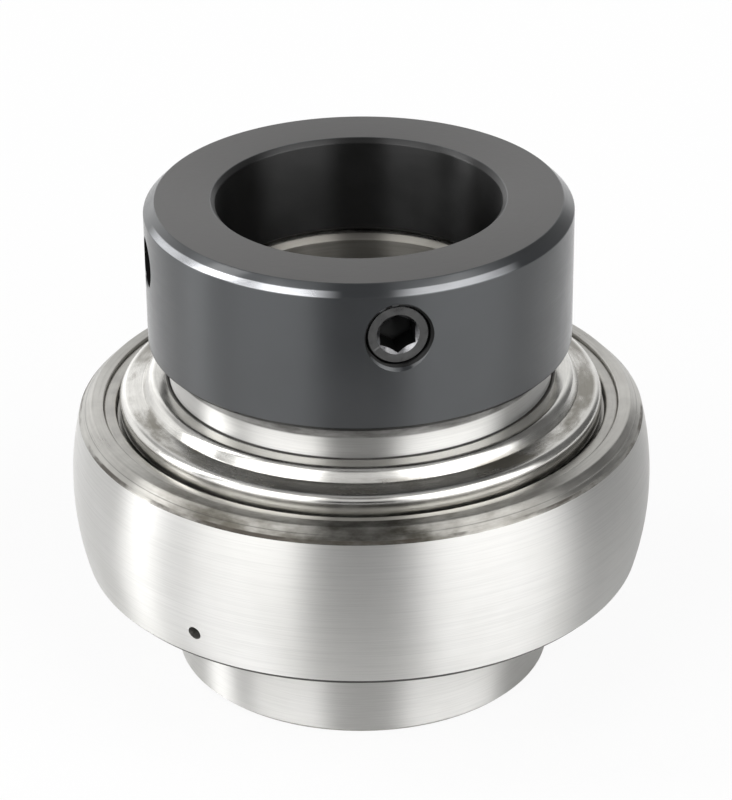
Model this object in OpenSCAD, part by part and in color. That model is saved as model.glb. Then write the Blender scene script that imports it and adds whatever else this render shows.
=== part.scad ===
// Insert bearing with an eccentric locking collar: 25 mm shaft, 52 mm spherical seat, 15 mm wide.
// Millimetres. The origin is the centre of the spherical seat, on the shaft axis.
// +Z points from the bearing to the locking collar. The front is -Y.
// An azimuth is counted from the front towards +X, so 90 is the right-hand side.

/* [Shaft and inner ring] */
// Bore that takes the shaft, in the inner ring and in the collar
shaft_bore_d = 25; // [20:0.5:30]
// Wall of the inner ring between the bore and its outside
inner_wall = 4.5; // [3.8:0.1:5.5]
// Length of bare inner ring between the upper slinger and the collar
neck_h = 3.25; // [2:0.05:8]
// Length of bare inner ring below the lower slinger
tail_h = 7.35; // [4:0.05:12]
// Chamfer at the ends of the shaft bore
bore_chamfer = 0.5; // [0.2:0.1:0.8]
// Chamfer at the outer corners of the inner ring
inner_chamfer = 0.35; // [0.1:0.05:0.6]

/* [Outer ring] */
// Radial space between the shoulders of the two rings
ring_space = 5.05; // [4.2:0.05:5.8]
// Step from a shoulder of the outer ring out to the recess of its seal
recess_step = 0.95; // [0.6:0.05:1.4]
// Depth of that recess from the face
recess_depth = 1.6; // [1.3:0.1:2]
// Flat land between the recess and the upper chamfer
face_land = 1.1; // [0.7:0.1:2]
// Chamfer between the upper face and the spherical seat
upper_chamfer = 1.1; // [0.4:0.1:1.4]
// Chamfer between the lower face and the spherical seat
lower_chamfer = 0.3; // [0.1:0.1:1.2]

/* [Grease holes] */
// Diameter of a grease hole
grease_hole_d = 1.25; // [0.8:0.05:1.5]
// Land between a grease hole and the lower seal recess
grease_land = 0.875; // [0.6:0.025:1.1]
// Azimuth of the grease hole in sight
grease_azimuth = -34.2; // [-60:0.1:60]
// Angle between the two grease holes
grease_spread = 120; // [60:5:180]

/* [Balls and cage] */
// Ball diameter
ball_d = 7.938; // [7:0.001:9]
// Least space between two balls
ball_space = 5; // [4.6:0.1:6]
// Gap between a ball and each groove
race_gap = 0.02; // [0.01:0.01:0.06]
// Groove radius as a share of the ball diameter
groove_share = 0.52; // [0.51:0.005:0.54]
// Sheet thickness of the cage
cage_sheet = 0.9; // [0.6:0.1:1.1]
// Radial width of the cage band
cage_band = 2.4; // [1.8:0.1:3]
// Gap between a ball and its cage pocket
pocket_gap = 0.1; // [0.05:0.01:0.2]
// Shank diameter of a cage rivet
rivet_d = 1.3; // [1:0.1:1.5]
// Width of a cage rivet's head round the shank
rivet_lip = 0.45; // [0.3:0.05:0.6]
// Head height of a cage rivet
rivet_head_h = 0.5; // [0.3:0.1:0.7]

/* [Seals and slingers] */
// Space between the cage and a seal
seal_room = 0.931; // [0.5:0.001:1.5]
// Sheet thickness of a seal case
case_sheet = 0.5; // [0.3:0.1:0.6]
// Width of the folded rim of a seal case
case_rim_w = 0.9; // [0.7:0.1:1.1]
// Depth of that rim below the face of the outer ring
case_rim_drop = 0.4; // [0.2:0.1:0.6]
// Radial length of the rubber from the inner ring to the case
rubber_w = 1.9; // [1.6:0.1:2.3]
// Gap between the rubber lip and the inner ring
lip_gap = 0.03; // [0.02:0.01:0.08]
// Sheet thickness of a slinger
slinger_sheet = 0.4; // [0.3:0.05:0.45]
// Height of the slinger above the face of the outer ring
slinger_rise = 2.65; // [2.3:0.05:3]
// Fall from the top of the slinger's hump to its flat
slinger_fall = 1.1; // [0.8:0.05:1.3]
// Radial width of the slinger's flat with its rim
slinger_flat_w = 2.1; // [1.8:0.05:2.4]
// Fall of the slinger's flat from the hump to the rim
slinger_flat_fall = 0.33; // [0.1:0.01:0.45]
// Depth of the slinger's rim below the face of the outer ring
slinger_rim_drop = 0.6; // [0.4:0.05:0.65]
// Gap between the slinger's rim and the seal case
slinger_gap = 0.6; // [0.4:0.05:0.8]

/* [Locking collar] */
// Thinnest wall of the collar, outside its recess
collar_wall = 2.2; // [1.8:0.05:4]
// Chamfer at the top of the collar
collar_chamfer = 0.95; // [0.4:0.05:1.2]
// Chamfer at the foot of the collar
collar_foot_chamfer = 0.3; // [0.1:0.1:0.5]
// Sideways shift of the eccentric stub and of the recess around it
lock_offset = 0.8; // [0.6:0.05:0.9]
// Thinnest width of the shoulder round the stub
stub_step = 0.9; // [0.6:0.05:1.2]
// Height of the eccentric stub
stub_h = 4; // [3:0.1:5]
// Radial gap between the stub and the collar's recess
lock_gap = 0.45; // [0.4:0.05:0.55]
// Gap between the end of the stub and the roof of the recess
stub_end_gap = 0.4; // [0.2:0.1:0.6]
// Land between the roof of the recess and the screw hole
hole_land = 1.4; // [1:0.1:2]
// Land between the screw hole and the top of the collar
top_land = 1.7; // [1.4:0.1:3]
// Diameter of the drift hole
drift_hole_d = 4.4; // [3:0.1:5]
// Wall between the bottom of the drift hole and the shaft bore
drift_wall = 2.25; // [1.5:0.05:3]
// Angle from the set screw back to the drift hole
drift_spread = 90; // [60:5:180]

/* [Set screw] */
// Azimuth of the set screw
screw_azimuth = 10; // [-40:1:40]
// Thread diameter of the set screw
screw_d = 6; // [5:0.1:6.6]
// Radial gap between the screw and its hole
screw_gap = 0.03; // [0.02:0.01:0.08]
// Depth of the screw's end below the collar's surface
screw_recess = 0.63; // [0.3:0.01:1]
// Gap between the point of the screw and the shaft bore
screw_tip_gap = 0.12; // [0.05:0.01:0.4]
// Width across the flats of the hexagon socket
socket_af = 3; // [2:0.1:3.2]
// Depth of the hexagon socket
socket_depth = 2.6; // [1.5:0.1:3]
// Chamfer at the outer end of the screw
screw_chamfer = 0.35; // [0.2:0.05:0.5]
// Width of the countersink round the screw hole
screw_sink = 0.25; // [0.1:0.05:0.5]

/* [Hidden] */
$fn = 96;
bore_r = shaft_bore_d / 2;
inner_r = bore_r + inner_wall;
shoulder_r = inner_r + ring_space;
recess_r = shoulder_r + recess_step;

// The balls run midway between the two rings, as many as their spacing allows.
ball_r = ball_d / 2;
pitch_r = (inner_r + shoulder_r) / 2;
groove_r = ball_d * groove_share;
groove_shift = ball_r + race_gap - groove_r;
ball_count = floor(180 / asin((ball_d + ball_space) / (2 * pitch_r)));
ball_step = 360 / ball_count;
pocket_r = ball_r + pocket_gap;
rivet_r = rivet_d / 2;
rivet_head_r = rivet_r + rivet_lip;

// The outer ring is as wide as the cage and its two seals need.
recess_floor = pocket_r + cage_sheet + seal_room;
half_w = recess_floor + recess_depth;
outer_r = norm([recess_r + face_land + upper_chamfer, half_w - upper_chamfer]);
grease_hole_drop = recess_floor - grease_land - grease_hole_d / 2;

// A seal fills its recess; its slinger is pressed on the inner ring above it.
case_rim_top = half_w - case_rim_drop;
case_rim_in = recess_r - case_rim_w;
case_web_top = recess_floor + case_sheet;
rubber_r = inner_r + rubber_w;
lip_r = inner_r + lip_gap;
lip_edge = 0.25;
lip_rise = 0.75;
rubber_over = 0.15;
slinger_r = case_rim_in - slinger_gap;
slinger_bend = slinger_sheet + 0.1;
slinger_step = slinger_fall * tan(30);
hump_r = slinger_r - slinger_flat_w - slinger_step;
slinger_top = half_w + slinger_rise;
slinger_flat = slinger_top - slinger_fall;
slinger_foot = case_web_top + lip_rise + 2 * lip_edge;
inner_above = slinger_top + neck_h;
inner_below = slinger_top + tail_h;

// The collar sits on the shoulder of the inner ring, with its recess round the stub.
inner_top = inner_above + stub_h;
stub_r = inner_r - lock_offset - stub_step;
recess_roof = inner_top + stub_end_gap;
collar_r = stub_r + lock_gap + lock_offset + collar_wall;
lock_hole_z = recess_roof + hole_land + screw_d / 2;
collar_top = lock_hole_z + screw_d / 2 + top_land;
drift_hole_depth = collar_r - bore_r - drift_wall;

screw_r = screw_d / 2;
screw_out = collar_r - screw_recess;
screw_l = screw_out - bore_r - screw_tip_gap;
cup_r = screw_r / 2;

ball_nodes = [for (i = [1:ball_count]) str("ball_", i)];

// Sections of bent sheet: a path with rounded corners, given a thickness on its right-hand side.
function unit(v) = v / norm(v);
function right_of(v) = [v[1], -v[0]];
function side(path, i) = right_of(unit(path[i + 1] - path[i]));
function mitre(a, b) = (a + b) / (1 + a * b);
function edge_shift(path, i) =
    i == 0 ? side(path, 0)
    : i == len(path) - 1 ? side(path, i - 1)
    : mitre(side(path, i - 1), side(path, i));
function sheet_section(path, t) = concat(
    path,
    [for (i = [len(path) - 1:-1:0]) path[i] + t * edge_shift(path, i)]
);
function bend(a, b, c, r, steps = 5) =
    let (u = unit(a - b))
    let (v = unit(c - b))
    let (half = acos(u * v) / 2)
    let (turn = 180 - 2 * half)
    let (centre = b + unit(u + v) * r / sin(half))
    let (from = b + u * r / tan(half) - centre)
    let (to = b + v * r / tan(half) - centre)
    [for (k = [0:steps])
        centre + (sin(turn * (1 - k / steps)) * from + sin(turn * k / steps) * to) / sin(turn)];
function bent(path, radii) = concat(
    [path[0]],
    [for (i = [1:len(path) - 2])
        each radii[i - 1] > 0
            ? bend(path[i - 1], path[i], path[i + 1], radii[i - 1])
            : [path[i]]],
    [path[len(path) - 1]]
);

module at_azimuth(angle) {
    rotate([0, 0, angle - 90]) children();
}

module round_the_balls() {
    for (i = [0:ball_count - 1])
        rotate([0, 0, i * ball_step]) children();
}

module upright_below() {
    mirror([0, 0, 1]) children();
}

module radial_hole(r, from, to) {
    translate([from, 0, 0]) rotate([0, 90, 0]) cylinder(r = r, h = to - from);
}

// Outer ring: a ball-shaped seat cut by two faces, with the ball groove and a recess at each side.
module outer_blank() {
    rotate_extrude()
        polygon([
            [0, -half_w],
            [seat_r(half_w - lower_chamfer) - lower_chamfer, -half_w],
            [outer_r, -half_w + outer_r - seat_r(half_w - lower_chamfer) + lower_chamfer],
            [outer_r, half_w - outer_r + seat_r(half_w - upper_chamfer) - upper_chamfer],
            [seat_r(half_w - upper_chamfer) - upper_chamfer, half_w],
            [0, half_w]
        ]);
}

function seat_r(z) = sqrt(outer_r * outer_r - z * z);

module ball_groove(shift) {
    rotate_extrude()
        translate([pitch_r + shift, 0])
            circle(r = groove_r);
}

module grease_hole(angle) {
    at_azimuth(angle)
        translate([0, 0, -grease_hole_drop])
            radial_hole(grease_hole_d / 2, pitch_r, outer_r + 1);
}

module outer_ring() {
    color([0.78, 0.78, 0.8])
        difference() {
            intersection() {
                sphere(r = outer_r);
                outer_blank();
            }
            cylinder(r = shoulder_r, h = 2 * half_w + 2, center = true);
            ball_groove(groove_shift);
            translate([0, 0, recess_floor]) cylinder(r = recess_r, h = recess_depth + 1);
            upright_below()
                translate([0, 0, recess_floor]) cylinder(r = recess_r, h = recess_depth + 1);
            grease_hole(grease_azimuth);
            grease_hole(grease_azimuth - grease_spread);
        }
}

// Inner ring: a long sleeve whose upper end is turned off centre for the collar.
module inner_ring() {
    color([0.8, 0.8, 0.82])
        difference() {
            union() {
                rotate_extrude()
                    polygon([
                        [0, -inner_below],
                        [inner_r - inner_chamfer, -inner_below],
                        [inner_r, -inner_below + inner_chamfer],
                        [inner_r, inner_above],
                        [0, inner_above]
                    ]);
                translate([lock_offset, 0, 0])
                    rotate_extrude()
                        polygon([
                            [0, 0],
                            [stub_r, 0],
                            [stub_r, inner_top - inner_chamfer],
                            [stub_r - inner_chamfer, inner_top],
                            [0, inner_top]
                        ]);
            }
            shaft_hole(-inner_below, inner_top);
            ball_groove(-groove_shift);
        }
}

// Shaft hole between two heights, with a chamfer at each end.
module shaft_hole(low, high) {
    rotate_extrude()
        polygon([
            [0, low - 1],
            [bore_r + bore_chamfer + 1, low - 1],
            [bore_r, low + bore_chamfer],
            [bore_r, high - bore_chamfer],
            [bore_r + bore_chamfer + 1, high + 1],
            [0, high + 1]
        ]);
}

module ball(i) {
    color([0.85, 0.85, 0.87])
        rotate([0, 0, (i - 1) * ball_step])
            translate([pitch_r, 0, 0]) sphere(r = ball_r, $fn = 48);
}

// Cage: two pressed halves, each a flat ring with a cup over every ball, riveted between the balls.
module cage_half() {
    difference() {
        intersection() {
            union() {
                cylinder(r = pitch_r + cage_band, h = cage_sheet);
                round_the_balls()
                    translate([pitch_r, 0, 0]) sphere(r = pocket_r + cage_sheet, $fn = 48);
            }
            difference() {
                cylinder(r = pitch_r + cage_band / 2, h = ball_d);
                translate([0, 0, -1]) cylinder(r = pitch_r - cage_band / 2, h = ball_d + 2);
            }
        }
        round_the_balls()
            translate([pitch_r, 0, 0]) sphere(r = pocket_r, $fn = 48);
        round_the_balls()
            rotate([0, 0, ball_step / 2])
                translate([pitch_r, 0, -1]) cylinder(r = rivet_r, h = cage_sheet + 2, $fn = 24);
    }
}

module cage_upper() {
    color([0.7, 0.7, 0.68]) cage_half();
}

module cage_lower() {
    color([0.7, 0.7, 0.68]) upright_below() cage_half();
}

module cage_rivets() {
    head_edge = rivet_head_h / 2;
    head_top = cage_sheet + rivet_head_h;
    color([0.66, 0.66, 0.64])
        round_the_balls()
            rotate([0, 0, ball_step / 2])
                translate([pitch_r, 0, 0])
                    rotate_extrude($fn = 24)
                        polygon([
                            [0, -head_top],
                            [rivet_head_r - head_edge, -head_top],
                            [rivet_head_r, -head_top + head_edge],
                            [rivet_head_r, -cage_sheet],
                            [rivet_r, -cage_sheet],
                            [rivet_r, cage_sheet],
                            [rivet_head_r, cage_sheet],
                            [rivet_head_r, head_top - head_edge],
                            [rivet_head_r - head_edge, head_top],
                            [0, head_top]
                        ]);
}

// Seal: a steel case with a folded rim, fixed in the recess, and a rubber lip moulded to its edge.
module seal_case() {
    rim_bend = case_rim_w / 3;
    color([0.62, 0.62, 0.62])
        rotate_extrude()
            polygon(bent(
                [
                    [rubber_r, case_web_top],
                    [case_rim_in, case_web_top],
                    [case_rim_in, case_rim_top],
                    [recess_r, case_rim_top],
                    [recess_r, recess_floor],
                    [rubber_r, recess_floor]
                ],
                [case_sheet / 3, rim_bend, rim_bend, 0]
            ));
}

module seal_lip() {
    color([0.12, 0.12, 0.12])
        rotate_extrude()
            polygon([
                [rubber_r, recess_floor - rubber_over],
                [rubber_r, case_web_top + rubber_over],
                [rubber_r - lip_rise, case_web_top + rubber_over],
                [lip_r + lip_edge, case_web_top + lip_rise + lip_edge],
                [lip_r, case_web_top + lip_rise],
                [lip_r, case_web_top + lip_rise - lip_edge],
                [rubber_r - lip_rise, recess_floor - rubber_over]
            ]);
}

// Slinger: a pressed ring with a round hump beside the inner ring and a flat that ends in a bent rim.
module slinger() {
    color([0.75, 0.75, 0.76])
        rotate_extrude()
            polygon(sheet_section(
                bent(
                    [
                        [inner_r, slinger_foot],
                        [inner_r, slinger_top],
                        [hump_r, slinger_top],
                        [hump_r + slinger_step, slinger_flat],
                        [slinger_r, slinger_flat - slinger_flat_fall],
                        [slinger_r, half_w - slinger_rim_drop]
                    ],
                    [slinger_bend, 2 * slinger_bend, slinger_sheet / 3, slinger_bend]
                ),
                slinger_sheet
            ));
}

// Locking collar: its off-centre recess fits over the stub and wedges on it when it is turned.
module locking_collar() {
    color([0.2, 0.2, 0.21])
        difference() {
            rotate_extrude()
                polygon([
                    [0, inner_above],
                    [collar_r - collar_foot_chamfer, inner_above],
                    [collar_r, inner_above + collar_foot_chamfer],
                    [collar_r, collar_top - collar_chamfer],
                    [collar_r - collar_chamfer, collar_top],
                    [0, collar_top]
                ]);
            shaft_hole(recess_roof, collar_top);
            translate([lock_offset, 0, inner_above - 1])
                cylinder(r = stub_r + lock_gap, h = recess_roof - inner_above + 1);
            at_azimuth(screw_azimuth)
                translate([0, 0, lock_hole_z]) {
                    radial_hole(screw_r, 0, collar_r + 1);
                    translate([collar_r - screw_sink, 0, 0])
                        rotate([0, 90, 0])
                            cylinder(r1 = screw_r, r2 = screw_r + screw_sink + 1, h = screw_sink + 1);
                }
            at_azimuth(screw_azimuth - drift_spread)
                translate([0, 0, lock_hole_z])
                    radial_hole(drift_hole_d / 2, collar_r - drift_hole_depth, collar_r + 1);
        }
}

// Set screw: a headless screw with a hexagon socket and a cup point.
module set_screw() {
    body_r = screw_r - screw_gap;
    color([0.3, 0.3, 0.31])
        at_azimuth(screw_azimuth)
            translate([screw_out, 0, lock_hole_z])
                rotate([0, -90, 0])
                    difference() {
                        rotate_extrude($fn = 48)
                            polygon([
                                [0, 0],
                                [body_r - screw_chamfer, 0],
                                [body_r, screw_chamfer],
                                [body_r, screw_l - body_r + cup_r],
                                [cup_r, screw_l],
                                [0, screw_l - cup_r / 2]
                            ]);
                        translate([0, 0, -1])
                            cylinder(r = socket_af / sqrt(3), h = socket_depth + 1, $fn = 6);
                    }
}

outer_ring();
inner_ring();
for (i = [1:ball_count])
    ball(i);
cage_upper();
cage_lower();
cage_rivets();
seal_case();  // upper_seal_case
seal_lip();  // upper_seal_lip
slinger();  // upper_slinger
upright_below() seal_case();  // lower_seal_case
upright_below() seal_lip();  // lower_seal_lip
upright_below() slinger();  // lower_slinger
locking_collar();
set_screw();
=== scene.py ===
# Insert bearing with an eccentric locking collar, standing on a white table.
# Sizes are in millimetres and become metres where vertices are made.
import math

import bmesh
import bpy
from mathutils import Matrix, Vector


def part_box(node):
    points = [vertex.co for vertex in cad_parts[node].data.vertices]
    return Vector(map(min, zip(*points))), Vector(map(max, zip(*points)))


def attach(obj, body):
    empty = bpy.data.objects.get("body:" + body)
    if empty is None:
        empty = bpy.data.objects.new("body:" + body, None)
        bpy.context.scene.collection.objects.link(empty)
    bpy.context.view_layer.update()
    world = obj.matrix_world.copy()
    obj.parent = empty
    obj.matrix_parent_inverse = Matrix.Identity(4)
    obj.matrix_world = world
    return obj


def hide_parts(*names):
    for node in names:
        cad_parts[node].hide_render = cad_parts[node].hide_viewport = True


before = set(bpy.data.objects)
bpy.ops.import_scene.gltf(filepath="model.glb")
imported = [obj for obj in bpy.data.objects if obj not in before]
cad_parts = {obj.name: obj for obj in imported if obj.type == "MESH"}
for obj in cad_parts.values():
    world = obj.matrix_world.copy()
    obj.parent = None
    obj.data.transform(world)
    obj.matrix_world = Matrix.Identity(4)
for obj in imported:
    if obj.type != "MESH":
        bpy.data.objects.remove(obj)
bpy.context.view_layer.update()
print("frame loaded")

mm = 0.001
turnSteps = 288  # faces round each turned piece
grooveSteps = 24
weldDistance = 1e-7  # in metres
sideTilt = 0.4  # a face whose normal rises less than this is a side


# Sizes read from the frame, so that the pieces follow it.
def lowest(node):
    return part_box(node)[0] / mm


def highest(node):
    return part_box(node)[1] / mm


innerFoot = lowest("inner_ring").z
innerTop = highest("inner_ring").z
collarFoot = lowest("locking_collar").z
collarTop = highest("locking_collar").z
collarRadius = highest("locking_collar").x
faceHeight = highest("outer_ring").z


# Turned pieces: an outline of (radius, height) points, with a third value where a corner is softened.
def arc(centreR, centreZ, radius, fromDeg, toDeg, steps):
    angles = [math.radians(fromDeg + (toDeg - fromDeg) * k / steps) for k in range(steps + 1)]
    return [(centreR + radius * math.cos(a), centreZ + radius * math.sin(a)) for a in angles]


def softened(points, segments=6):
    flat = bmesh.new()
    corners = [flat.verts.new((p[0], p[1], 0)) for p in points]
    flat.faces.new(corners)
    for soft in sorted({p[2] for p in points if len(p) == 3}):
        chosen = [v for v, p in zip(corners, points) if len(p) == 3 and p[2] == soft]
        bmesh.ops.bevel(
            flat, geom=chosen, offset=soft, affect="VERTICES", segments=segments, profile=0.5, material=-1
        )
    flat.faces.ensure_lookup_table()
    outline = [(v.co.x, v.co.y) for v in flat.faces[0].verts]
    flat.free()
    return outline


def turned(points, steps=turnSteps):
    bm = bmesh.new()
    ring = [bm.verts.new((r * mm, 0, z * mm)) for r, z in softened(points)]
    edges = [bm.edges.new(pair) for pair in zip(ring, ring[1:] + ring[:1])]
    bmesh.ops.spin(
        bm, geom=ring + edges, cent=(0, 0, 0), axis=(0, 0, 1), angle=math.tau, steps=steps, use_merge=True
    )
    return bm


def moveAside(bm, wanted, offset):
    # moves the vertices wanted, by height and radius, towards the right
    chosen = [v for v in bm.verts if wanted(v.co.z, math.hypot(v.co.x, v.co.y) / mm)]
    bmesh.ops.translate(bm, verts=chosen, vec=(offset * mm, 0, 0))


def rodAlong(azimuth, height, fromRadius, toRadius, widths, sides=64):
    # a rod that points outwards from the axis, with a width at each of its two ends
    bm = bmesh.new()
    length = toRadius - fromRadius
    bmesh.ops.create_cone(
        bm, cap_ends=True, segments=sides, radius1=widths[0] * mm, radius2=widths[1] * mm, depth=length * mm
    )
    bmesh.ops.translate(bm, verts=bm.verts, vec=(0, 0, (fromRadius + length / 2) * mm))
    bmesh.ops.transform(bm, verts=bm.verts, matrix=outwards(azimuth, height))
    return bm


def outwards(azimuth, height):
    # turns +Z to the outward direction at an azimuth counted from the front, at a height
    lean = Matrix.Rotation(math.radians(90), 4, "X")
    turn = Matrix.Rotation(math.radians(azimuth), 4, "Z")
    return Matrix.Translation((0, 0, height * mm)) @ turn @ lean


def addObject(name, bm):
    bmesh.ops.remove_doubles(bm, verts=bm.verts, dist=weldDistance)
    bmesh.ops.recalc_face_normals(bm, faces=bm.faces)
    mesh = bpy.data.meshes.new(name)
    bm.to_mesh(mesh)
    bm.free()
    made = bpy.data.objects.new(name, mesh)
    bpy.context.scene.collection.objects.link(made)
    return made


def cutAway(piece, cutters):
    for cutter in cutters:
        hole = piece.modifiers.new(cutter.name, "BOOLEAN")
        hole.object = cutter
        hole.operation = "DIFFERENCE"
        hole.solver = "EXACT"
    shaped = piece.evaluated_get(bpy.context.evaluated_depsgraph_get())
    mesh = bpy.data.meshes.new_from_object(shaped)
    piece.modifiers.clear()
    piece.data = mesh
    for cutter in cutters:
        bpy.data.objects.remove(cutter)


def finishPiece(piece, materials, body, node, choose=None, sharpDeg=32):
    # choose tells which material a face has, from its middle and its normal
    piece.data.materials.clear()
    for material in materials:
        piece.data.materials.append(material)
    for face in piece.data.polygons:
        face.material_index = choose(face.center / mm, face.normal) if choose else 0
    piece.data.shade_smooth()
    piece.data.set_sharp_from_angle(angle=math.radians(sharpDeg))
    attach(piece, body)
    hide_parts(node)
    return piece


# Materials
def addNode(tree, kind, inputs=None, **settings):
    made = tree.nodes.new("ShaderNode" + kind)
    for key, value in settings.items():
        setattr(made, key, value)
    for key, value in (inputs or {}).items():
        if isinstance(value, bpy.types.NodeSocket):
            tree.links.new(value, made.inputs[key])
        else:
            made.inputs[key].default_value = value
    return made


def maths(tree, operation, first, second=0.0, third=0.0):
    return addNode(tree, "Math", {0: first, 1: second, 2: third}, operation=operation).outputs[0]


def vectorMaths(tree, operation, inputs, output="Vector"):
    return addNode(tree, "VectorMath", inputs, operation=operation).outputs[output]


def roundPlace(tree):
    # object coordinates as radius and height in millimetres, and the heading from the axis
    place = addNode(tree, "TexCoord").outputs["Object"]
    inMm = vectorMaths(tree, "SCALE", {0: place, "Scale": 1 / mm})
    apart = addNode(tree, "SeparateXYZ", {0: inMm})
    level = addNode(tree, "CombineXYZ", {"X": apart.outputs["X"], "Y": apart.outputs["Y"]}).outputs[0]
    radius = vectorMaths(tree, "LENGTH", {0: level}, "Value")
    heading = vectorMaths(tree, "NORMALIZE", {0: level})
    return {"place": inMm, "radius": radius, "height": apart.outputs["Z"], "heading": heading}


noiseRoughness = 0.6
noiseDetail = {"films": 5.0, "patches": 3.0, "grain": 4.0}


def cutLines(tree, at, perMm, length, detail):
    # noise drawn out round the axis, as a lathe or a grinding wheel leaves it
    drawn = vectorMaths(tree, "SCALE", {0: at["heading"], "Scale": length})
    upright = addNode(tree, "CombineXYZ", {"Z": maths(tree, "MULTIPLY", at["height"], perMm)}).outputs[0]
    both = vectorMaths(tree, "ADD", {0: drawn, 1: upright})
    across = maths(tree, "MULTIPLY", at["radius"], perMm)
    inputs = {"Vector": both, "W": across, "Scale": 1.0, "Detail": detail, "Roughness": noiseRoughness}
    return addNode(tree, "TexNoise", inputs, noise_dimensions="4D").outputs["Fac"]


def cloud(tree, at, perMm, detail):
    inputs = {"Vector": at["place"], "Scale": perMm, "Detail": detail, "Roughness": noiseRoughness}
    return addNode(tree, "TexNoise", inputs).outputs["Fac"]


def between(tree, value, low, high, fromLow=0.3, fromHigh=0.7):
    # low to high, smoothly, as the value goes through its range
    ranged = addNode(
        tree,
        "MapRange",
        {"Value": value, "From Min": fromLow, "From Max": fromHigh, "To Min": low, "To Max": high},
        interpolation_type="SMOOTHSTEP",
    )
    return ranged.outputs["Result"]


def inBand(tree, value, low, high, soft):
    above = between(tree, value, 0.0, 1.0, low - soft, low + soft)
    below = between(tree, value, 1.0, 0.0, high - soft, high + soft)
    return maths(tree, "MULTIPLY", above, below)


def inSector(tree, at, azimuth, inner, outer):
    # 1 within the inner angle from an azimuth, falling to 0 at the outer one
    turn = math.radians(azimuth)
    towards = (math.sin(turn), -math.cos(turn), 0)
    facing = vectorMaths(tree, "DOT_PRODUCT", {0: at["heading"], 1: towards}, "Value")
    return between(tree, facing, 0.0, 1.0, math.cos(math.radians(outer)), math.cos(math.radians(inner)))


def blendValues(tree, share, first, second):
    return addNode(tree, "Mix", {0: share, 2: first, 3: second}, data_type="FLOAT").outputs[0]


def blendColours(tree, share, first, second):
    mix = addNode(tree, "Mix", {0: share}, data_type="RGBA")
    for socket, colour in ((mix.inputs[6], first), (mix.inputs[7], second)):
        if isinstance(colour, bpy.types.NodeSocket):
            tree.links.new(colour, socket)
        else:
            socket.default_value = (*colour, 1)
    return mix.outputs[2]


def newFinish(name):
    material = bpy.data.materials.new(name)
    material.use_nodes = True
    tree = material.node_tree
    return material, tree, tree.nodes["Principled BSDF"]


metal = {
    "shadedLines": (0.35, 0.6),  # noise of the lines, from fully shaded to clean
    "lineShare": 0.6,  # of the lines in the roughness, against the patches
    "roughSpread": (0.55, 1.05),
    "quarterTurn": 0.25,  # highlights run across the lines
    "ior": 1.5,
    "tint": (1, 1, 1),
    "coat": {"weight": 0.0, "roughness": 0.1},
}


def turnedMetal(name, look):
    # bare or blackened metal that was turned or ground round the axis
    material, tree, shader = newFinish(name)
    at = roundPlace(tree)
    lines = cutLines(tree, at, look["linesPerMm"], look["lineLength"], look["lineDetail"])
    patches = cloud(tree, at, look["patchesPerMm"], noiseDetail["patches"])
    colour = blendColours(tree, between(tree, patches, 0.0, 1.0), *look["colours"])
    shade = between(tree, lines, look["lineShade"], 0.0, *metal["shadedLines"])
    colour = blendColours(tree, shade, colour, (0.0, 0.0, 0.0))
    mixed = maths(tree, "MULTIPLY_ADD", lines, metal["lineShare"], patches)
    rough = between(tree, mixed, *look["roughness"], *metal["roughSpread"])
    metallic = look["metallic"]
    for film in look.get("films", []):
        # each film is grease, dirt, rubbed metal, painted shade or a painted highlight, in a band of radius
        # and height, broken up by noise
        band = inBand(tree, at["radius"], *film["radius"], film["soft"])
        share = maths(tree, "MULTIPLY", band, film["amount"])
        height = at["height"] if film.get("upperOnly") else maths(tree, "ABSOLUTE", at["height"])
        share = maths(tree, "MULTIPLY", share, inBand(tree, height, *film["height"], film["soft"]))
        spots = cutLines(tree, at, film["spotsPerMm"], film["spotLength"], noiseDetail["films"])
        share = maths(tree, "MULTIPLY", share, between(tree, spots, film["least"], 1.0, *film["spread"]))
        # the sector keeps painted shade and painted highlights to one side of the axis
        if "towards" in film:
            share = maths(tree, "MULTIPLY", share, inSector(tree, at, film["towards"], *film["reach"]))
        colour = blendColours(tree, share, colour, film["colour"])
        rough = blendValues(tree, share, rough, film["roughness"])
        metallic = blendValues(tree, share, metallic, film["metallic"])
    tree.links.new(colour, shader.inputs["Base Color"])
    tree.links.new(rough, shader.inputs["Roughness"])
    if isinstance(metallic, bpy.types.NodeSocket):
        tree.links.new(metallic, shader.inputs["Metallic"])
    else:
        shader.inputs["Metallic"].default_value = metallic
    shader.inputs["IOR"].default_value = look.get("ior", metal["ior"])
    shader.inputs["Specular Tint"].default_value = (*look.get("tint", metal["tint"]), 1)
    shader.inputs["Anisotropic"].default_value = look["drawn"]
    shader.inputs["Anisotropic Rotation"].default_value = metal["quarterTurn"]
    coat = look.get("coat", metal["coat"])
    shader.inputs["Coat Weight"].default_value = coat["weight"]
    shader.inputs["Coat Roughness"].default_value = coat["roughness"]
    tangent = addNode(tree, "Tangent", direction_type="RADIAL", axis="Z")
    tree.links.new(tangent.outputs[0], shader.inputs["Tangent"])
    relief = lines
    if "grain" in look:
        grain = cloud(tree, at, look["grain"]["perMm"], noiseDetail["grain"])
        relief = maths(tree, "MULTIPLY_ADD", grain, look["grain"]["share"], lines)
    bump = addNode(tree, "Bump", {"Strength": 1.0, "Distance": look["lineDepth"] * mm, "Height": relief})
    tree.links.new(bump.outputs[0], shader.inputs["Normal"])
    return material
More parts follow.
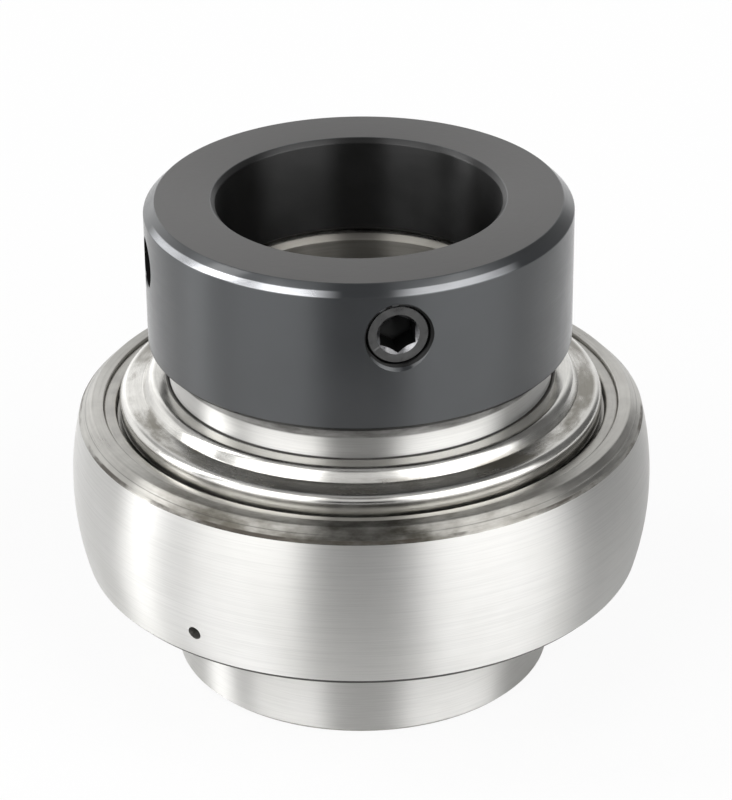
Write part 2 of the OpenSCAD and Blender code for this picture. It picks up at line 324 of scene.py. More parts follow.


# Films of oil and dirt, of painted shade in creases, under the collar and on the ring's face, and of rubbed
# metal with a painted highlight
# painted shade: a near-black line in the crease where the slinger meets the neck
neckCreaseShade = {
    "radius": (16.9, 17.36),
    "height": (9.3, 10.19),
    "soft": 0.06,
    "amount": 1.0,
    "spotsPerMm": 0.8,
    "spotLength": 5.0,
    "least": 0.9,
    "spread": (0.3, 0.7),
    "colour": (0.012, 0.01, 0.007),
    "roughness": 0.5,
    "metallic": 0.0,
}
# painted shadow: a dark band on the neck just under the collar's foot
underCollarShadow = {
    "radius": (16.9, 17.1),
    "height": (12.05, 13.6),
    "upperOnly": True,
    "soft": 0.1,
    "amount": 0.92,
    "spotsPerMm": 0.8,
    "spotLength": 4.0,
    "least": 0.6,
    "spread": (0.3, 0.7),
    "colour": (0.018, 0.016, 0.012),
    "roughness": 0.45,
    "metallic": 0.3,
}
# brownish dirt and painted shade on the outer ring's face and chamfers, on the front side only
faceDirtAndShade = {
    "radius": (22.8, 25.4),
    "height": (6.0, 8.0),
    "soft": 0.1,
    "amount": 0.88,
    "spotsPerMm": 0.5,
    "spotLength": 6.0,
    "least": 0.35,
    "spread": (0.3, 0.7),
    "colour": (0.06, 0.053, 0.037),
    "roughness": 0.36,
    "metallic": 0.95,
    "towards": -6,
    "reach": (22, 58),
}
# painted shade: darker still on the front middle of the ring's face
faceMiddleShade = {
    **faceDirtAndShade,
    "amount": 0.78,
    "colour": (0.02, 0.018, 0.012),
    "towards": 2,
    "reach": (4, 19),
}
# a dark, broken line along the outer edge of the upper chamfer
chamferEdgeDarkLine = {
    "radius": (24.95, 25.4),
    "height": (6.3, 6.66),
    "upperOnly": True,
    "soft": 0.05,
    "amount": 0.9,
    "spotsPerMm": 0.3,
    "spotLength": 2.6,
    "least": 0.0,
    "spread": (0.44, 0.56),
    "colour": (0.03, 0.022, 0.014),
    "roughness": 0.45,
    "metallic": 0.2,
}
# painted shade: a dark line on the outer ring's lower chamfer, which faces the shaded table
lowerChamferShade = {
    "radius": (24.62, 25.2),
    "height": (6.95, 7.6),
    "soft": 0.04,
    "amount": 0.9,
    "spotsPerMm": 0.5,
    "spotLength": 4.0,
    "least": 0.8,
    "spread": (0.3, 0.7),
    "colour": (0.02, 0.02, 0.018),
    "roughness": 0.5,
    "metallic": 0.2,
}
# brown oil and painted shade on the slinger's flat between its hump and rim
flatOilAndShade = {
    "radius": (19.25, 20.85),
    "height": (8.5, 9.5),
    "soft": 0.18,
    "amount": 0.75,
    "spotsPerMm": 0.4,
    "spotLength": 3.0,
    "least": 0.15,
    "spread": (0.4, 0.6),
    "colour": (0.10, 0.086, 0.058),
    "roughness": 0.33,
    "metallic": 0.9,
}
# rubbed bright metal on the collar's top chamfer, kept to the sides where a highlight shows: partly wear,
# partly a painted highlight
rubbedEdgeAndHighlight = {
    "radius": (18.3, 18.85),
    "height": (25.97, 26.42),
    "soft": 0.05,
    "amount": 1.0,
    "spotsPerMm": 0.8,
    "spotLength": 5.0,
    "least": 0.8,
    "spread": (0.35, 0.65),
    "colour": (0.55, 0.56, 0.58),
    "roughness": 0.2,
    "metallic": 1.0,
    "towards": -40,
    "reach": (24, 36),
}
# the same on the right side, weaker: partly wear, partly a painted highlight
rubbedEdgeAndHighlightRight = {**rubbedEdgeAndHighlight, "amount": 0.5, "towards": 27, "reach": (9, 20)}
finishes = {
    "groundSteel": {
        "metallic": 1.0,
        "drawn": 1.0,
        "colours": [(0.68, 0.675, 0.655), (0.75, 0.745, 0.73)],
        "roughness": (0.42, 0.50),
        "linesPerMm": 9.0,
        "lineLength": 3.0,
        "lineDetail": 4.0,
        "lineDepth": 0.0014,
        "lineShade": 0.08,
        "patchesPerMm": 0.09,
        "films": [neckCreaseShade, underCollarShadow],
    },
    "turnedSteel": {
        "metallic": 1.0,
        "drawn": 0.95,
        "colours": [(0.46, 0.45, 0.425), (0.56, 0.55, 0.52)],
        "roughness": (0.27, 0.36),
        "linesPerMm": 5.0,
        "lineLength": 4.0,
        "lineDetail": 4.0,
        "lineDepth": 0.002,
        "lineShade": 0.15,
        "patchesPerMm": 0.3,
        "films": [faceDirtAndShade, faceMiddleShade, chamferEdgeDarkLine, lowerChamferShade],
    },
    # a darker copy of the ground steel, for the bore of the inner ring
    "boreSteel": {
        "metallic": 1.0,
        "drawn": 0.95,
        "colours": [(0.27, 0.258, 0.235), (0.34, 0.328, 0.30)],
        "roughness": (0.36, 0.44),
        "linesPerMm": 7.0,
        "lineLength": 3.0,
        "lineDetail": 4.0,
        "lineDepth": 0.0014,
        "lineShade": 0.1,
        "patchesPerMm": 0.2,
    },
    "pressedSteel": {
        "metallic": 1.0,
        "drawn": 0.5,
        "colours": [(0.66, 0.65, 0.62), (0.76, 0.75, 0.72)],
        "roughness": (0.17, 0.25),
        "linesPerMm": 7.0,
        "lineLength": 6.0,
        "lineDetail": 3.0,
        "lineDepth": 0.0008,
        "lineShade": 0.08,
        "patchesPerMm": 0.3,
        "films": [flatOilAndShade, neckCreaseShade],
    },
    "caseSteel": {
        "metallic": 1.0,
        "drawn": 0.5,
        "colours": [(0.40, 0.39, 0.37), (0.50, 0.49, 0.46)],
        "roughness": (0.28, 0.38),
        "linesPerMm": 6.0,
        "lineLength": 8.0,
        "lineDetail": 4.0,
        "lineDepth": 0.0016,
        "lineShade": 0.1,
        "patchesPerMm": 0.5,
    },
    "rubbedSteel": {
        "metallic": 1.0,
        "drawn": 0.3,
        "colours": [(0.16, 0.16, 0.165), (0.34, 0.34, 0.35)],
        "roughness": (0.24, 0.36),
        "linesPerMm": 4.0,
        "lineLength": 20.0,
        "lineDetail": 4.0,
        "lineDepth": 0.002,
        "lineShade": 0.3,
        "patchesPerMm": 1.4,
    },
    "blackOxide": {
        "metallic": 0.0,
        "drawn": 0.95,
        "colours": [(0.005, 0.0055, 0.0065), (0.009, 0.0095, 0.011)],
        "ior": 1.7,
        "tint": (0.93, 0.97, 1.0),
        "coat": {"weight": 0.6, "roughness": 0.1},
        "roughness": (0.38, 0.45),
        "linesPerMm": 7.0,
        "lineLength": 4.0,
        "lineDetail": 5.0,
        "lineDepth": 0.0014,
        "lineShade": 0.1,
        "patchesPerMm": 0.22,
        "films": [rubbedEdgeAndHighlight, rubbedEdgeAndHighlightRight],
    },
    # a darker, less shiny copy of the black oxide, for the collar's bore and recess
    "blackOxideBore": {
        "metallic": 0.0,
        "drawn": 0.95,
        "colours": [(0.003, 0.003, 0.003), (0.005, 0.005, 0.005)],
        "ior": 1.55,
        "roughness": (0.33, 0.4),
        "linesPerMm": 6.0,
        "lineLength": 4.0,
        "lineDetail": 5.0,
        "lineDepth": 0.0014,
        "lineShade": 0.1,
        "patchesPerMm": 0.22,
    },
    "blackOxideFace": {
        "metallic": 0.0,
        "drawn": 0.4,
        "colours": [(0.05, 0.049, 0.048), (0.06, 0.0585, 0.057)],
        "ior": 1.7,
        "roughness": (0.47, 0.53),
        "linesPerMm": 4.0,
        "lineLength": 5.0,
        "lineDetail": 5.0,
        "lineDepth": 0.005,
        "lineShade": 0.1,
        "patchesPerMm": 0.5,
        "grain": {"perMm": 2.4, "share": 2.6},
    },
    # painted shade: a near-black finish for the holes, the screw's socket and thread, and the collar's
    # underside
    "shadedHollow": {
        "metallic": 0.0,
        "drawn": 0.0,
        "colours": [(0.002, 0.002, 0.002), (0.004, 0.004, 0.004)],
        "ior": 1.3,
        "roughness": (0.4, 0.5),
        "linesPerMm": 6.0,
        "lineLength": 20.0,
        "lineDetail": 3.0,
        "lineDepth": 0.002,
        "lineShade": 0.1,
        "patchesPerMm": 0.5,
    },
    "screwSteel": {
        "metallic": 0.0,
        "drawn": 0.0,
        "colours": [(0.006, 0.006, 0.006), (0.02, 0.02, 0.02)],
        "ior": 1.9,
        "roughness": (0.26, 0.4),
        "linesPerMm": 3.0,
        "lineLength": 30.0,
        "lineDetail": 3.0,
        "lineDepth": 0.004,
        "lineShade": 0.2,
        "patchesPerMm": 1.1,
    },
    "ballSteel": {
        "metallic": 1.0,
        "drawn": 0.0,
        "colours": [(0.72, 0.72, 0.72), (0.76, 0.76, 0.76)],
        "roughness": (0.04, 0.08),
        "linesPerMm": 2.0,
        "lineLength": 50.0,
        "lineDetail": 2.0,
        "lineDepth": 0.0004,
        "lineShade": 0.0,
        "patchesPerMm": 0.4,
    },
}
looks = {name: turnedMetal(name, look) for name, look in finishes.items()}


rubber = {
    "colour": (0.018, 0.018, 0.019),
    "grainPerMm": 4.0,
    "roughness": (0.55, 0.75),
    "relief": 0.6,
    "reliefDepth": 0.01,
}


def sealRubber():
    material, tree, shader = newFinish("sealRubber")
    at = roundPlace(tree)
    shader.inputs["Base Color"].default_value = (*rubber["colour"], 1)
    grain = cloud(tree, at, rubber["grainPerMm"], noiseDetail["grain"])
    tree.links.new(between(tree, grain, *rubber["roughness"]), shader.inputs["Roughness"])
    relief = {"Strength": rubber["relief"], "Distance": rubber["reliefDepth"] * mm, "Height": grain}
    bump = addNode(tree, "Bump", relief)
    tree.links.new(bump.outputs[0], shader.inputs["Normal"])
    return material


looks["sealRubber"] = sealRubber()
print("materials ready")


# Outer ring
ring = {
    "seatRadius": 26.0,
    "shoulder": 22.05,
    "recess": 23.0,
    "recessDepth": 1.6,
    "upperChamfer": 1.1,
    "lowerChamfer": 0.5,
    "grooveRadius": 4.128,
    "grooveCentre": 19.386,
    "edgeSoft": 0.1,
    "seatSteps": 40,
    "greaseAzimuths": (-34.2, -154.2),
    "greaseHeight": -4.4,
    "greaseWidth": 1.25,
    "greaseSides": 32,
    "cutBeyond": 1.0,  # how far the grease hole's cutter stands out of the seat
    "groundFrom": 25.0,  # radius outside which the sides are ground
}


def seatAt(height):
    return math.sqrt(ring["seatRadius"] ** 2 - height**2)


def seatAngle(height):
    return math.degrees(math.asin(height / ring["seatRadius"]))


def makeOuterRing():
    top = faceHeight
    soft = ring["edgeSoft"]
    upper = top - ring["upperChamfer"]
    lower = -top + ring["lowerChamfer"]
    grooveDeg = math.degrees(math.acos((ring["shoulder"] - ring["grooveCentre"]) / ring["grooveRadius"]))
    recessFloor = top - ring["recessDepth"]
    seat = arc(0, 0, ring["seatRadius"], seatAngle(lower), seatAngle(upper), ring["seatSteps"])
    points = [
        (ring["shoulder"], -recessFloor),
        (ring["recess"], -recessFloor),
        (ring["recess"], -top, soft),
        (seatAt(lower) - ring["lowerChamfer"], -top, soft / 2),
        (*seat[0], soft / 2),
        *seat[1:-1],
        (*seat[-1], soft),
        (seatAt(upper) - ring["upperChamfer"], top, soft),
        (ring["recess"], top, soft),
        (ring["recess"], recessFloor),
        (ring["shoulder"], recessFloor),
        *arc(ring["grooveCentre"], 0, ring["grooveRadius"], grooveDeg, -grooveDeg, grooveSteps),
    ]
    piece = addObject("outerRing", turned(points))
    half = ring["greaseWidth"] / 2
    ends = (ring["grooveCentre"], ring["seatRadius"] + ring["cutBeyond"])
    cutters = []
    for azimuth in ring["greaseAzimuths"]:
        shaft = rodAlong(azimuth, ring["greaseHeight"], *ends, (half, half), ring["greaseSides"])
        cutters.append(addObject("greaseHole", shaft))
    cutAway(piece, cutters)
    finishPiece(
        piece,
        [looks["groundSteel"], looks["turnedSteel"]],
        "outer",
        "outer_ring",
        lambda middle, normal: 0 if middle.xy.length > ring["groundFrom"] and abs(normal.z) < sideTilt else 1,
    )


makeOuterRing()
print("outer ring made")


# Inner ring with its off-centre stub
sleeve = {
    "radius": 17.0,
    "bore": 12.5,
    "boreChamfer": 0.5,
    "corner": 0.35,
    "stubRadius": 15.3,
    "stubOffset": 0.8,
    "grooveRadius": 4.128,
    "grooveCentre": 19.664,
    "edgeSoft": 0.06,
    "boreMargin": 0.1,  # how far past its chamfer the bore's finish goes
}


def makeInnerRing():
    soft = sleeve["edgeSoft"]
    bore = sleeve["bore"]
    chamfer = sleeve["boreChamfer"]
    corner = sleeve["corner"]
    outside = sleeve["radius"]
    stub = sleeve["stubRadius"]
    grooveDeg = math.degrees(math.acos((sleeve["grooveCentre"] - outside) / sleeve["grooveRadius"]))
    grooveAt = (sleeve["grooveCentre"], 0, sleeve["grooveRadius"])
    points = [
        (bore, innerFoot + chamfer, soft),
        (bore + chamfer, innerFoot, soft),
        (outside - corner, innerFoot, soft),
        (outside, innerFoot + corner, soft),
        *arc(*grooveAt, 180 + grooveDeg, 180 - grooveDeg, grooveSteps),
        (outside, collarFoot, soft),
        (stub, collarFoot),
        (stub, innerTop - corner, soft),
        (stub - corner, innerTop, soft),
        (bore + chamfer, innerTop, soft),
        (bore, innerTop - chamfer, soft),
    ]
    bm = turned(points)
    low = (collarFoot - soft / 2) * mm
    inside = bore + chamfer + soft
    moveAside(bm, lambda z, r: z > low and inside < r < outside - soft, sleeve["stubOffset"])

    def ringFinish(middle, normal):
        if middle.xy.length < bore + chamfer + sleeve["boreMargin"]:
            return 2
        return 0 if abs(normal.z) < sideTilt else 1

    piece = addObject("innerRing", bm)
    materials = [looks["groundSteel"], looks["turnedSteel"], looks["boreSteel"]]
    finishPiece(piece, materials, "inner", "inner_ring", ringFinish)


makeInnerRing()
print("inner ring made")


# Seals and slingers, the lower ones mirrored
seal = {
    "recess": 23.0,
    "rimWidth": 1.15,
    "rimDrop": 0.25,
    "rimSoft": 0.28,
    "recessDepth": 1.6,
    "sheet": 0.5,
    "rubberOuter": 18.9,
    "lipRadius": 17.03,
    "lipRise": 0.75,
    "lipEdge": 0.25,
    "rubberOver": 0.15,
    "rubberSoft": 0.1,
    "lipSofts": (0.06, 0.05, 0.03),
}
slinger = {
    "inner": 17.0,
    "foot": 7.65,
    "top": 10.15,
    "humpEdge": 18.765,
    "humpFoot": 19.4,
    "flat": 9.05,
    "rim": 21.5,
    "rimTop": 8.72,
    "rimFoot": 6.9,
    "sheet": 0.4,
    "softs": {"inner": 0.3, "hump": 0.5, "flat": 0.07, "rim": 0.6, "edge": 0.06},
    "underSofts": {"inner": 0.1, "hump": 0.2, "flat": 0.2},
    "underHump": 0.23,  # how far the bends on the sheet's underside lie from those on top
    "underFlat": (0.25, 0.365),
    "underRim": 0.34,
}


def upsideDown(bm):
    bmesh.ops.transform(bm, verts=bm.verts, matrix=Matrix.Scale(-1, 4, (0, 0, 1)))


def caseShape():
    top = faceHeight - seal["rimDrop"]
    floor = faceHeight - seal["recessDepth"]
    web = floor + seal["sheet"]
    inside = seal["recess"] - seal["rimWidth"]
    soft = seal["rimSoft"]
    return turned(
        [
            (seal["rubberOuter"], web),
            (inside, web, soft / 2),
            (inside, top, soft),
            (seal["recess"], top, soft),
            (seal["recess"], floor),
            (seal["rubberOuter"], floor),
        ]
    )


def lipShape():
    floor = faceHeight - seal["recessDepth"]
    web = floor + seal["sheet"]
    rise = seal["lipRise"]
    edge = seal["lipEdge"]
    over = seal["rubberOver"]
    soft = seal["rubberSoft"]
    lipSofts = seal["lipSofts"]
    return turned(
        [
            (seal["rubberOuter"], floor - over, soft),
            (seal["rubberOuter"], web + over, soft),
            (seal["rubberOuter"] - rise, web + over, soft),
            (seal["lipRadius"] + edge, web + rise + edge, lipSofts[0]),
            (seal["lipRadius"], web + rise, lipSofts[1]),
            (seal["lipRadius"], web + rise - edge, lipSofts[2]),
            (seal["rubberOuter"] - rise, floor - over, soft),
        ]
    )


def slingerShape():
    sheet = slinger["sheet"]
    inner = slinger["inner"]
    rim = slinger["rim"]
    under = slinger["top"] - sheet
    soft = slinger["softs"]
    underSoft = slinger["underSofts"]
    flatIn, flatDown = slinger["underFlat"]
    return turned(
        [
            (inner, slinger["foot"]),
            (inner, slinger["top"], soft["inner"]),
            (slinger["humpEdge"], slinger["top"], soft["hump"]),
            (slinger["humpFoot"], slinger["flat"], soft["flat"]),
            (rim, slinger["rimTop"], soft["rim"]),
            (rim, slinger["rimFoot"], soft["edge"]),
            (rim - sheet, slinger["rimFoot"], soft["edge"]),
            (rim - sheet, slinger["rimTop"] - slinger["underRim"]),
            (slinger["humpFoot"] - flatIn, slinger["flat"] - flatDown, underSoft["flat"]),
            (slinger["humpEdge"] - slinger["underHump"], under, underSoft["hump"]),
            (inner + sheet, under, underSoft["inner"]),
            (inner + sheet, slinger["foot"]),
        ]
    )


sealPieces = {
    "seal_case": (caseShape, "caseSteel", "seal_steel", "outer"),
    "seal_lip": (lipShape, "sealRubber", "seal_rubber", "outer"),
    "slinger": (slingerShape, "pressedSteel", "slinger_steel", "inner"),
}
for part, (shape, look, slotName, body) in sealPieces.items():
    for side in ("upper", "lower"):
        bm = shape()
        if side == "lower":
            upsideDown(bm)
        piece = addObject(f"{side}_{part}_piece", bm)
        finishPiece(piece, [looks[look]], body, f"{side}_{part}")
print("seals and slingers made")


# Threads: a turned rod whose surface rises and falls along a helix
thread = {
    "radius": 3.0,
    "pitch": 0.5,
    "depth": 0.28,
    "rowsPerTurn": 8,
    "steps": 72,
    "gap": 0.03,
    "tip": 0.01,  # radius of the turned ends before they close
}


def threadedRod(fromHeight, toHeight, crest, limits):
    # limits gives the largest radius at a height, for the chamfers at the ends
    rows = math.ceil((toHeight - fromHeight) / thread["pitch"] * thread["rowsPerTurn"])
    side = [(crest, fromHeight + (toHeight - fromHeight) * k / rows) for k in range(rows + 1)]
    bm = turned([(thread["tip"], fromHeight), *side, (thread["tip"], toHeight)], thread["steps"])
    for v in bm.verts:
        radius = math.hypot(v.co.x, v.co.y) / mm
        if radius > crest / 2:
            turn = math.atan2(v.co.y, v.co.x) / math.tau
            phase = (v.co.z / mm / thread["pitch"] - turn) % 1
            wave = abs(2 * phase - 1)
            wanted = min(crest - thread["depth"] * (1 - wave), limits(v.co.z / mm))
            v.co.x *= wanted / radius
            v.co.y *= wanted / radius
    for height in (fromHeight, toHeight):
        near = [v for v in bm.verts if abs(v.co.z / mm - height) < thread["tip"]]
        tip = [v for v in near if math.hypot(v.co.x, v.co.y) < 2 * thread["tip"] * mm]
        bmesh.ops.pointmerge(bm, verts=tip, merge_co=(0, 0, height * mm))
    return bm


# Locking collar
collar = {
    "bore": 12.5,
    "boreChamfer": 0.4,
    "topChamfer": 0.95,
    "footChamfer": 0.5,
    "recessRadius": 15.75,
    "recessOffset": 0.8,
    "recessDepth": 4.4,
    "holeHeight": 8.8,
    "screwAzimuth": 10.0,
    "sink": 0.12,
    "driftAzimuth": -80.0,
    "driftWidth": 4.4,
    "driftDepth": 4.0,
    "driftSoft": 0.12,
    "edgeSoft": 0.09,
    "cutBeyond": 1.0,  # how far the cutters stand out of the collar
    "cutInside": 2.0,  # how far the screw hole's cutter goes into the bore
    "faceMargin": 0.1,
    "holeMargin": 0.02,
    "recessMargin": 1.0,  # more than the recess's offset
    "topTilt": 0.95,  # a face that rises more than this is the top face
    "boreTilt": 0.9,  # inside, one that rises less than this is the bore's
}
holeHeight = collarFoot + collar["holeHeight"]


def alongHole(azimuth, middle):
    # how far out a point lies on a hole's line, and how far off that line
    turn = math.radians(azimuth)
    line = Vector((math.sin(turn), -math.cos(turn), 0))
    spot = Vector((middle.x, middle.y, middle.z - holeHeight))
    out = spot.dot(line)
    return out, (spot - out * line).length


def collarFinish(middle, normal):
    # 0 outside, 1 top face, 2 bore and recess, 3 the holes and the underside, in near-black painted shade
    if normal.z > collar["topTilt"] and middle.z > collarTop - collar["faceMargin"]:
        return 1
    margin = collar["holeMargin"]
    holes = {collar["screwAzimuth"]: thread["radius"], collar["driftAzimuth"]: collar["driftWidth"] / 2}
    for azimuth, radius in holes.items():
        out, off = alongHole(azimuth, middle)
        surface = math.sqrt(max(collarRadius**2 - off**2, 0)) - margin
        if off < radius + margin and collar["bore"] + collar["faceMargin"] < out < surface:
            return 3
    inside = middle.xy.length < collar["recessRadius"] + collar["recessMargin"]
    if not inside and normal.z < -sideTilt and middle.z < collarFoot + collar["footChamfer"]:
        return 3
    return 2 if inside and normal.z < collar["boreTilt"] else 0


def makeCollar():
    soft = collar["edgeSoft"]
    bore = collar["bore"]
    chamfer = collar["boreChamfer"]
    roof = collarFoot + collar["recessDepth"]
    recess = collar["recessRadius"]
    points = [
        (recess, collarFoot, soft),
        (collarRadius - collar["footChamfer"], collarFoot, soft),
        (collarRadius, collarFoot + collar["footChamfer"], soft),
        (collarRadius, collarTop - collar["topChamfer"], soft),
        (collarRadius - collar["topChamfer"], collarTop, soft),
        (bore + chamfer, collarTop, soft),
        (bore, collarTop - chamfer, soft),
        (bore, roof + chamfer, soft),
        (bore + chamfer, roof, soft),
        (recess, roof),
    ]
    bm = turned(points)
    high = (roof + soft / 2) * mm
    inside = bore + chamfer + soft
    moveAside(bm, lambda z, r: z < high and inside < r < recess + 2 * soft, collar["recessOffset"])
    piece = addObject("lockingCollar", bm)
    cutAway(piece, [screwHoleCutter(), sinkCutter(), driftCutter(), driftSoftCutter()])
    finishPiece(
        piece,
        [looks["blackOxide"], looks["blackOxideFace"], looks["blackOxideBore"], looks["shadedHollow"]],
        "collar",
        "locking_collar",
        collarFinish,
    )


def screwHoleCutter():
    crest = thread["radius"]
    ends = (collar["bore"] - collar["cutInside"], collarRadius + collar["cutBeyond"])
    bm = threadedRod(*ends, crest, lambda height: crest)
    bmesh.ops.transform(bm, verts=bm.verts, matrix=outwards(collar["screwAzimuth"], holeHeight))
    return addObject("screwHole", bm)


def sinkCutter():
    sink = collar["sink"]
    inner = thread["radius"]
    reach = collar["cutBeyond"]
    ends = (collarRadius - sink - reach / 2, collarRadius + reach)
    bm = rodAlong(collar["screwAzimuth"], holeHeight, *ends, (inner - reach / 2, inner + sink + reach))
    return addObject("screwSink", bm)


def driftCutter():
    half = collar["driftWidth"] / 2
    ends = (collarRadius - collar["driftDepth"], collarRadius + collar["cutBeyond"])
    bm = rodAlong(collar["driftAzimuth"], holeHeight, *ends, (half, half))
    return addObject("driftHole", bm)


def driftSoftCutter():
    half = collar["driftWidth"] / 2
    soft = collar["driftSoft"]
    reach = collar["cutBeyond"] / 2
    ends = (collarRadius - soft - reach, collarRadius + reach)
    bm = rodAlong(collar["driftAzimuth"], holeHeight, *ends, (half - reach, half + soft + reach))
    return addObject("driftSoft", bm)


makeCollar()
print("locking collar made")


# Set screw
screw = {
    "outEnd": 18.12,
    "inEnd": 12.62,
    "endChamfer": 0.45,
    "socketAcross": 3.0,
    "socketDepth": 2.6,
    "socketSink": 0.18,
    "drillPoint": (0.02, 0.87, 0.15),  # tip, width against the hexagon's corner, height over its floor
    "drillDepth": 0.6,
    "cupRadius": 1.5,
    "cup": (0.5, 0.7),  # from outside the end to the bottom of the cup
    "cupWidths": (1.7, 0.02),
    "sides": 48,
    "cutBeyond": 1.0,  # how far the socket's cutters stand out of the end
    "threadMargin": 0.03,
    "endMargin": 0.01,
}


def makeScrew():
    crest = thread["radius"] - thread["gap"]
    outEnd = screw["outEnd"]
    inEnd = screw["inEnd"]
    corner = screw["socketAcross"] / math.sqrt(3)

    def endLimit(height):
        return min(crest - screw["endChamfer"] + outEnd - height, screw["cupRadius"] + height - inEnd, crest)

    def screwFinish(middle, normal):
        # 0 the outer end, 1 thread and socket, in near-black painted shade, 2 the rubbed mouth of the socket
        out, off = alongHole(collar["screwAzimuth"], middle)
        onThread = off > crest - screw["endChamfer"] + screw["threadMargin"]
        inSocket = off < corner and out < outEnd - screw["socketSink"]
        if onThread or inSocket:
            return 1
        return 2 if out < outEnd - screw["endMargin"] else 0

    def rod(fromRadius, toRadius, widths, sides=screw["sides"]):
        return rodAlong(collar["screwAzimuth"], holeHeight, fromRadius, toRadius, widths, sides)

    bm = threadedRod(inEnd, outEnd, crest, endLimit)
    bmesh.ops.transform(bm, verts=bm.verts, matrix=outwards(collar["screwAzimuth"], holeHeight))
    piece = addObject("setScrew", bm)
    floor = outEnd - screw["socketDepth"]
    tip, share, rise = screw["drillPoint"]
    beyond = screw["cutBeyond"]
    cupOut, cupIn = screw["cup"]
    shapes = {
        "socket": rod(floor, outEnd + beyond, (corner, corner), 6),
        "socketPoint": rod(floor - screw["drillDepth"], floor + rise, (tip, corner * share)),
        "socketMouth": rod(
            outEnd - screw["socketSink"] - beyond, outEnd + beyond, (corner - beyond, corner + beyond)
        ),
        "cup": rod(inEnd - cupOut, inEnd + cupIn, screw["cupWidths"]),
    }
    cutAway(piece, [addObject(name, shape) for name, shape in shapes.items()])
    materials = [looks["screwSteel"], looks["shadedHollow"], looks["rubbedSteel"]]
    finishPiece(piece, materials, "screw", "set_screw", screwFinish)


makeScrew()
print("set screw made")


# Balls, cage and rivets keep their solids and get their finish
carried = dict.fromkeys(("cage_upper", "cage_lower", "cage_rivets"), "pressedSteel")
carried.update({node: "ballSteel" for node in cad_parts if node.startswith("ball_")})
for node, look in carried.items():
    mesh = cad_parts[node].data
    mesh.materials.clear()
    mesh.materials.append(looks[look])
print("carried nodes finished")


# White table and the studio round it: azimuths count from the front, to the right
studio = {
    "tableSize": 3.0,
    "tableGap": 0.02,
    "paper": (0.8, 0.8, 0.8),
    "whiteForCamera": 0.9,  # share of plain white in what the camera sees of the table
    "whiteForMetal": 0.14,
    "card": {"towards": 2, "reach": (10, 30), "from": 85, "to": 420, "soft": 20, "amount": 0.75},
    "walls": 0.45,
    "panelFade": 4,
    "panels": {
        "front": {"azimuth": 3, "halfWidth": 21, "fade": 8, "low": -10, "high": 23, "strength": -0.43},
        "frontMiddle": {"azimuth": 0, "halfWidth": 26, "fade": 8, "low": 28, "high": 50, "strength": 0.3},
        "frontHigh": {"azimuth": 0, "halfWidth": 25, "fade": 8, "low": 56, "high": 76, "strength": -0.34},
        "left": {"azimuth": -46, "halfWidth": 22.5, "fade": 5, "low": 0, "high": 58, "strength": 2.6},
        "leftStrip": {"azimuth": -93, "halfWidth": 8, "fade": 3, "low": 0, "high": 55, "strength": 5.0},
        "leftBack": {"azimuth": -135, "halfWidth": 28, "fade": 6, "low": 0, "high": 30, "strength": 0.7},
        "right": {"azimuth": 53, "halfWidth": 30, "fade": 9, "low": 0, "high": 58, "strength": 2.6},
        "rightBack": {"azimuth": 118, "halfWidth": 28, "fade": 6, "low": -10, "high": 70, "strength": -0.3},
        "back": {"azimuth": 180, "halfWidth": 30, "fade": 8, "low": -10, "high": 50, "strength": 0.5},
    },
}


def seesWhite(tree, forCamera, forMetal):
    path = addNode(tree, "LightPath").outputs
    mirror = maths(tree, "MAXIMUM", path["Is Glossy Ray"], path["Is Transmission Ray"])
    metalPart = maths(tree, "MULTIPLY", mirror, forMetal)
    cameraPart = maths(tree, "MULTIPLY", path["Is Camera Ray"], forCamera)
    return maths(tree, "MAXIMUM", metalPart, cameraPart)


def cardShare(tree):
    # a dark card on the table in front of the bearing, which only the metal mirrors
    card = studio["card"]
    at = roundPlace(tree)
    sector = inSector(tree, at, card["towards"], *card["reach"])
    band = inBand(tree, at["radius"], card["from"], card["to"], card["soft"])
    share = maths(tree, "MULTIPLY", maths(tree, "MULTIPLY", sector, band), card["amount"])
    return maths(tree, "MULTIPLY", share, addNode(tree, "LightPath").outputs["Is Glossy Ray"])


def makeTable():
    bm = bmesh.new()
    bmesh.ops.create_grid(bm, x_segments=1, y_segments=1, size=studio["tableSize"])
    bmesh.ops.translate(bm, verts=bm.verts, vec=(0, 0, (innerFoot - studio["tableGap"]) * mm))
    table = addObject("table", bm)
    material = bpy.data.materials.new("white table")
    material.use_nodes = True
    tree = material.node_tree
    tree.nodes.remove(tree.nodes["Principled BSDF"])
    paper = addNode(tree, "BsdfDiffuse", {"Color": (*studio["paper"], 1)})
    glow = addNode(tree, "Emission", {"Color": (1, 1, 1, 1), "Strength": 1.0})
    share = seesWhite(tree, studio["whiteForCamera"], studio["whiteForMetal"])
    mix = addNode(tree, "MixShader", {0: share, 1: paper.outputs[0], 2: glow.outputs[0]})
    black = addNode(tree, "BsdfDiffuse", {"Color": (0, 0, 0, 1)})
    carded = addNode(tree, "MixShader", {0: cardShare(tree), 1: mix.outputs[0], 2: black.outputs[0]})
    tree.links.new(carded.outputs[0], tree.nodes["Material Output"].inputs["Surface"])
    table.data.materials.append(material)


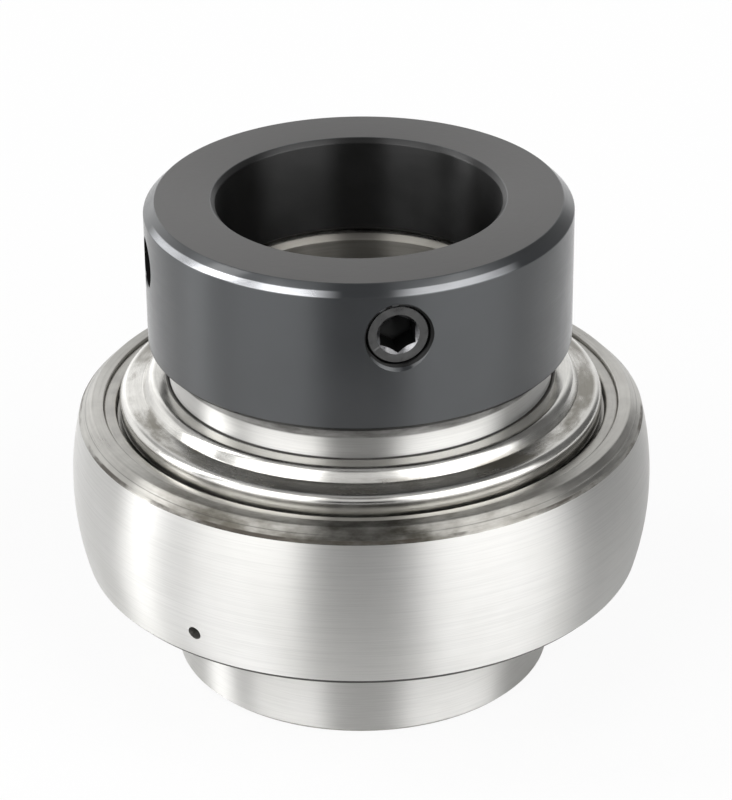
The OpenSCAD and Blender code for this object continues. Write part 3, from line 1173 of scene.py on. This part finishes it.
def panelShare(tree, azimuth, elevation, panel):
    # a soft-edged patch of the walls, lighter or darker by its strength
    turn = maths(tree, "SUBTRACT", azimuth, math.radians(panel["azimuth"]))
    away = maths(tree, "ABSOLUTE", maths(tree, "WRAP", turn, math.pi, -math.pi))
    inside = math.radians(panel["halfWidth"] - panel["fade"])
    outside = math.radians(panel["halfWidth"] + panel["fade"])
    across = between(tree, away, 0.0, panel["strength"], outside, inside)
    low, high, fade = (math.radians(deg) for deg in (panel["low"], panel["high"], studio["panelFade"]))
    return maths(tree, "MULTIPLY", across, inBand(tree, elevation, low, high, fade))


def makeWorld():
    world = bpy.data.worlds.new("studio")
    bpy.context.scene.world = world
    world.use_nodes = True
    tree = world.node_tree
    room = tree.nodes["Background"]
    heading = addNode(tree, "TexCoord").outputs["Generated"]
    apart = addNode(tree, "SeparateXYZ", {0: heading}).outputs
    azimuth = maths(tree, "ARCTAN2", apart["X"], maths(tree, "MULTIPLY", apart["Y"], -1.0))
    elevation = maths(tree, "ARCSINE", apart["Z"])
    level = studio["walls"]
    for panel in studio["panels"].values():
        level = maths(tree, "ADD", level, panelShare(tree, azimuth, elevation, panel))
    tree.links.new(level, room.inputs["Strength"])
    room.inputs["Color"].default_value = (1, 1, 1, 1)
    white = addNode(tree, "Background", {"Color": (1, 1, 1, 1), "Strength": 1.0})
    seen = addNode(tree, "LightPath").outputs["Is Camera Ray"]
    mix = addNode(tree, "MixShader", {0: seen, 1: room.outputs[0], 2: white.outputs[0]})
    tree.links.new(mix.outputs[0], tree.nodes["World Output"].inputs["Surface"])


makeTable()
makeWorld()

# Camera, looking down on the front from 27.5 degrees
view = {
    "place": (0.0, -262.07, 143.19),
    "aim": (0.471, 0.0, 6.863),
    "roll": -0.517,
    "lens": 148.4,
    "sensor": 36,
    "clipFrom": 10,  # nothing nearer than this is drawn
    "clipTo": 20000,
}


def makeCamera():
    data = bpy.data.cameras.new("camera")
    data.lens = view["lens"]
    data.sensor_width = view["sensor"]
    data.clip_start = view["clipFrom"] * mm
    data.clip_end = view["clipTo"] * mm
    made = bpy.data.objects.new("camera", data)
    bpy.context.scene.collection.objects.link(made)
    place = Vector(view["place"]) * mm
    aim = Vector(view["aim"]) * mm
    looking = (aim - place).to_track_quat("-Z", "Y").to_matrix().to_4x4()
    roll = Matrix.Rotation(math.radians(view["roll"]), 4, "Z")
    made.matrix_world = Matrix.Translation(place) @ looking @ roll
    bpy.context.scene.camera = made


makeCamera()
bpy.context.scene.view_settings.view_transform = "Standard"
print("studio ready")
